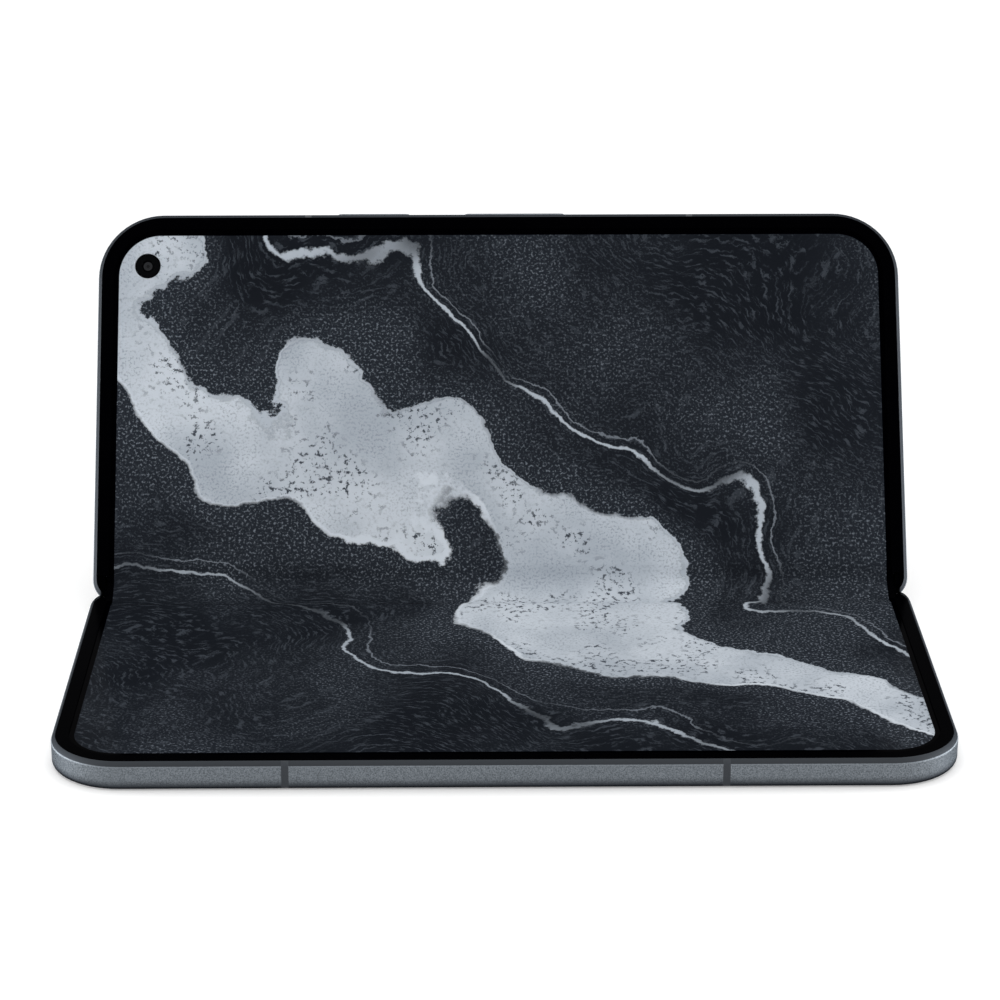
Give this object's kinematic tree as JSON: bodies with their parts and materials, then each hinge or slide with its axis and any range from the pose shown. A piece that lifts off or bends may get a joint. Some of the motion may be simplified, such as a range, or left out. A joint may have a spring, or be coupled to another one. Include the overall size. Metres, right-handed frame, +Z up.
{
  "type": "foldable smartphone",
  "caption": "Book-style folding phone standing half open on one half: twin flat slabs, one bending inner screen, geared two-axis hinge, camera bump, side keys and card tray.",
  "frame": {"origin": "centre of the outside face that the lower half rests on, halfway from its front edge to the hinge plane", "axes": "+X along the hinge, +Y from the front edge towards the hinge, +Z up out of the lower half's screen"},
  "size_m": [0.1552, 0.117, 0.0686],
  "materials": {
    "frame_metal": "bead-blasted anodised satin",
    "break_plastic": "moulded, flush",
    "lip_plastic": "fine satin",
    "screen": "glossy flexible screen",
    "face_glass": "polished, opaque backed",
    "back_panel": "frosted, opaque backed",
    "display_panel": "glossy",
    "lens_glass": "coated and polished",
    "black_plastic": "moulded",
    "speaker_plastic": "moulded",
    "board": "solder resist",
    "battery_foil": "laminated foil",
    "steel": "stamped, satin",
    "spine_metal": "anodised satin",
    "gear_brass": "machined",
    "copper": "enamelled winding",
    "flash_lens": "clear diffuser",
    "led": "phosphor"
  },
  "bodies": {
    "base": {"base_frame": "frame_metal", "base_antenna_breaks": "break_plastic", "base_bezel": "lip_plastic", "base_screen": "screen", "cover_glass": "face_glass", "cover_display": "display_panel", "cover_camera": "black_plastic", "base_battery": "battery_foil", "base_board": "board", "base_shield": "steel", "base_speaker": "speaker_plastic", "earpiece": "speaker_plastic", "sim_reader": "steel", "base_swing_arms": "steel", "base_arm_screws": "steel"},
    "spine": {"spine_cover": "spine_metal", "spine_end_caps": "black_plastic", "hinge_housings": "steel", "screen_fold": "screen"},
    "lid": {"lid_frame": "frame_metal", "lid_antenna_breaks": "break_plastic", "lid_bezel": "lip_plastic", "lid_screen": "screen", "back_glass": "back_panel", "camera_bump": "frame_metal", "lens_rings": "steel", "lens_windows": "lens_glass", "rear_cameras": "black_plastic", "flash_window": "flash_lens", "flash_led": "led", "inner_camera": "black_plastic", "inner_camera_lens": "lens_glass", "main_board": "board", "main_shield": "steel", "lid_battery": "battery_foil", "charging_coil": "copper", "lid_swing_arms": "steel", "lid_arm_screws": "steel", "button_switches": "gear_brass", "usb_socket": "steel", "port_board": "board", "lid_speaker": "speaker_plastic", "vibration_motor": "steel"},
    "base_gears": {"base_sync_gears": "gear_brass"},
    "lid_gears": {"lid_sync_gears": "gear_brass"},
    "base_plate": {"base_support_plate": "steel"},
    "lid_plate": {"lid_support_plate": "steel"},
    "power_key": {"power_button": "frame_metal"},
    "volume_key": {"volume_rocker": "frame_metal"},
    "tray": {"sim_tray": "frame_metal"}
  },
  "joints": [
    {"name": "base_hinge", "type": "hinge", "parent": "base", "child": "spine", "pos_m": [0, 0.0362, 0.0039], "axis": [1, 0, 0], "range_deg": [-29.5, 60.5], "deforming": ["screen_fold"]},
    {"name": "lid_hinge", "type": "hinge", "parent": "spine", "child": "lid", "pos_m": [0, 0.03855, 0.00523], "axis": [1, 0, 0], "range_deg": [-29.5, 60.5]},
    {"name": "base_gear_spin", "type": "hinge", "parent": "spine", "child": "base_gears", "pos_m": [0, 0.03681, 0.00304], "axis": [1, 0, 0], "range_deg": [-112, 55]},
    {"name": "lid_gear_spin", "type": "hinge", "parent": "spine", "child": "lid_gears", "pos_m": [0, 0.03898, 0.00427], "axis": [1, 0, 0], "range_deg": [-55, 112]},
    {"name": "base_plate_tilt", "type": "hinge", "parent": "base", "child": "base_plate", "pos_m": [0, 0.02935, 0.00397], "axis": [1, 0, 0], "range_deg": [-13.6, 6.6]},
    {"name": "lid_plate_tilt", "type": "hinge", "parent": "lid", "child": "lid_plate", "pos_m": [0, 0.04202, 0.01114], "axis": [1, 0, 0], "range_deg": [-6.6, 13.6]},
    {"name": "power_press", "type": "slide", "parent": "lid", "child": "power_key", "axis": [0, -0.515, -0.8572], "range_m": [0, 0.00025], "stiffness_N_per_m": 2000, "springref_m": -0.0003},
    {"name": "volume_rock", "type": "hinge", "parent": "lid", "child": "volume_key", "pos_m": [0.0031, 0.07714, 0.06645], "axis": [0, -0.8572, 0.515], "range_deg": [-1.2, 1.2], "stiffness_Nm_per_rad": 0.4},
    {"name": "tray_slide", "type": "slide", "parent": "base", "child": "tray", "axis": [1, 0, 0], "range_m": [0, 0.02]}
  ],
  "couplings": [
    {"joint": "lid_hinge", "follows": "base_hinge", "ratio": 1},
    {"joint": "base_gear_spin", "follows": "base_hinge", "ratio": -1.8462},
    {"joint": "lid_gear_spin", "follows": "base_hinge", "ratio": 1.8462},
    {"joint": "base_plate_tilt", "follows": "base_hinge", "ratio": -0.22222},
    {"joint": "lid_plate_tilt", "follows": "base_hinge", "ratio": 0.22222}
  ]
}
